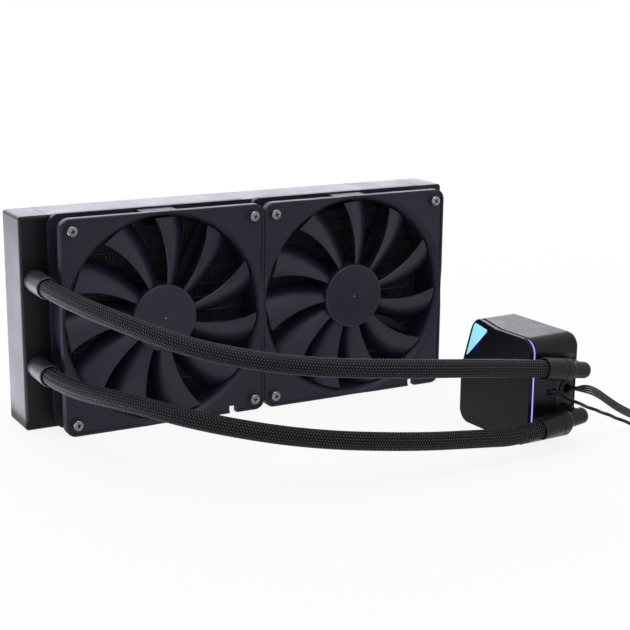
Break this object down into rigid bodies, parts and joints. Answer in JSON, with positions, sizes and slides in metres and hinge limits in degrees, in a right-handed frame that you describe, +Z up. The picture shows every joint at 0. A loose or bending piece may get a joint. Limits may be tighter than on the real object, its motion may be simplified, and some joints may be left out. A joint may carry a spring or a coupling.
{
  "type": "liquid cooler for a processor",
  "caption": "Closed liquid cooler: slim radiator with fans, braided hoses and a square pump block with lit ring and corner window; rotors, impeller and elbows turn.",
  "frame": {"origin": "middle of the radiator's lower edge face, on the surface it stands on", "axes": "+X along the radiator away from its hose ports, +Z up, the fans and the pump on the -Y side"},
  "size_m": [0.4266, 0.2697, 0.14],
  "materials": {
    "radiator_paint": "satin black powder coat",
    "core_metal": "black painted thin aluminium",
    "fan_plastic": "glass filled nylon, fine matt",
    "blade_plastic": "moulded blades, soft sheen",
    "steel": "bright zinc plated steel",
    "bearing_bronze": "sintered bronze",
    "magnet": "bonded ferrite",
    "winding": "enamelled copper winding on steel",
    "circuit": "glass epoxy board",
    "pump_shell": "satin black moulded ABS",
    "face_gloss": "high gloss black",
    "ring_light": "frosted light guide, lit violet",
    "window_light": "frosted window, lit pale blue",
    "pump_body_plastic": "glass filled polymer",
    "impeller_plastic": "moulded polymer",
    "ceramic": "polished ceramic",
    "copper": "machined copper",
    "seal_rubber": "moulded rubber",
    "elbow_plastic": "smooth black polymer",
    "sleeve_metal": "black semi-gloss crimp sleeve",
    "hose_braid": "braided black monofilament over rubber",
    "lead_rubber": "black PVC wire",
    "plug_plastic": "black nylon connector"
  },
  "bodies": {
    "root": {"left_end_tank": "radiator_paint", "right_end_tank": "radiator_paint", "left_header_plate": "core_metal", "right_header_plate": "core_metal", "top_side_rail": "radiator_paint", "bottom_side_rail": "radiator_paint", "coolant_tubes": "core_metal", "fin_strips": "core_metal", "radiator_upper_barb": "radiator_paint", "radiator_upper_sleeve": "sleeve_metal", "radiator_lower_barb": "radiator_paint", "radiator_lower_sleeve": "sleeve_metal", "left_fan_frame": "fan_plastic", "left_fan_bearing": "bearing_bronze", "left_fan_stator": "winding", "left_fan_circuit_board": "circuit", "left_fan_screws": "steel", "right_fan_frame": "fan_plastic", "right_fan_bearing": "bearing_bronze", "right_fan_stator": "winding", "right_fan_circuit_board": "circuit", "right_fan_screws": "steel", "face_plate": "face_gloss", "corner_window": "window_light", "light_ring": "ring_light", "light_board": "circuit", "pump_cap": "pump_shell", "pump_body": "pump_body_plastic", "pump_stator": "winding", "control_board": "circuit", "impeller_shaft": "ceramic", "jet_plate": "steel", "base_gasket": "seal_rubber", "base_ring": "pump_shell", "cold_plate": "copper", "cold_plate_screws": "steel", "port_plate": "pump_body_plastic", "cable_grommet": "seal_rubber", "upper_hose": "hose_braid", "lower_hose": "hose_braid", "pump_lead": "lead_rubber", "pump_lead_coil": "lead_rubber", "pump_plug": "plug_plastic", "light_lead": "lead_rubber", "light_lead_coil": "lead_rubber", "light_plug": "plug_plastic"},
    "left_fan_spinner": {"left_fan_rotor": "blade_plastic", "left_fan_shaft": "steel", "left_fan_magnet_ring": "magnet"},
    "right_fan_spinner": {"right_fan_rotor": "blade_plastic", "right_fan_shaft": "steel", "right_fan_magnet_ring": "magnet"},
    "impeller_spinner": {"impeller": "impeller_plastic"},
    "upper_elbow_swivel_body": {"upper_elbow": "elbow_plastic", "upper_elbow_ferrule": "sleeve_metal", "upper_elbow_seal": "seal_rubber"},
    "lower_elbow_swivel_body": {"lower_elbow": "elbow_plastic", "lower_elbow_ferrule": "sleeve_metal", "lower_elbow_seal": "seal_rubber"}
  },
  "joints": [
    {"name": "left_fan_spin", "type": "hinge", "parent": "root", "child": "left_fan_spinner", "pos_m": [-0.0681, -0.0295, 0.07], "axis": [0, -1, 0], "continuous": true},
    {"name": "right_fan_spin", "type": "hinge", "parent": "root", "child": "right_fan_spinner", "pos_m": [0.0721, -0.0295, 0.07], "axis": [0, -1, 0], "continuous": true},
    {"name": "impeller_spin", "type": "hinge", "parent": "root", "child": "impeller_spinner", "pos_m": [0.13216, -0.1543, 0.0345], "axis": [0.9983, 0.0584, 0], "continuous": true},
    {"name": "upper_elbow_swivel", "type": "hinge", "parent": "root", "child": "upper_elbow_swivel_body", "pos_m": [0.13925, -0.18994, 0.0498], "axis": [0.0584, -0.9983, 0], "range_deg": [-18, 18], "deforming": ["upper_hose"]},
    {"name": "lower_elbow_swivel", "type": "hinge", "parent": "root", "child": "lower_elbow_swivel_body", "pos_m": [0.13925, -0.18994, 0.0192], "axis": [0.0584, -0.9983, 0], "range_deg": [-18, 18], "deforming": ["lower_hose"]}
  ]
}
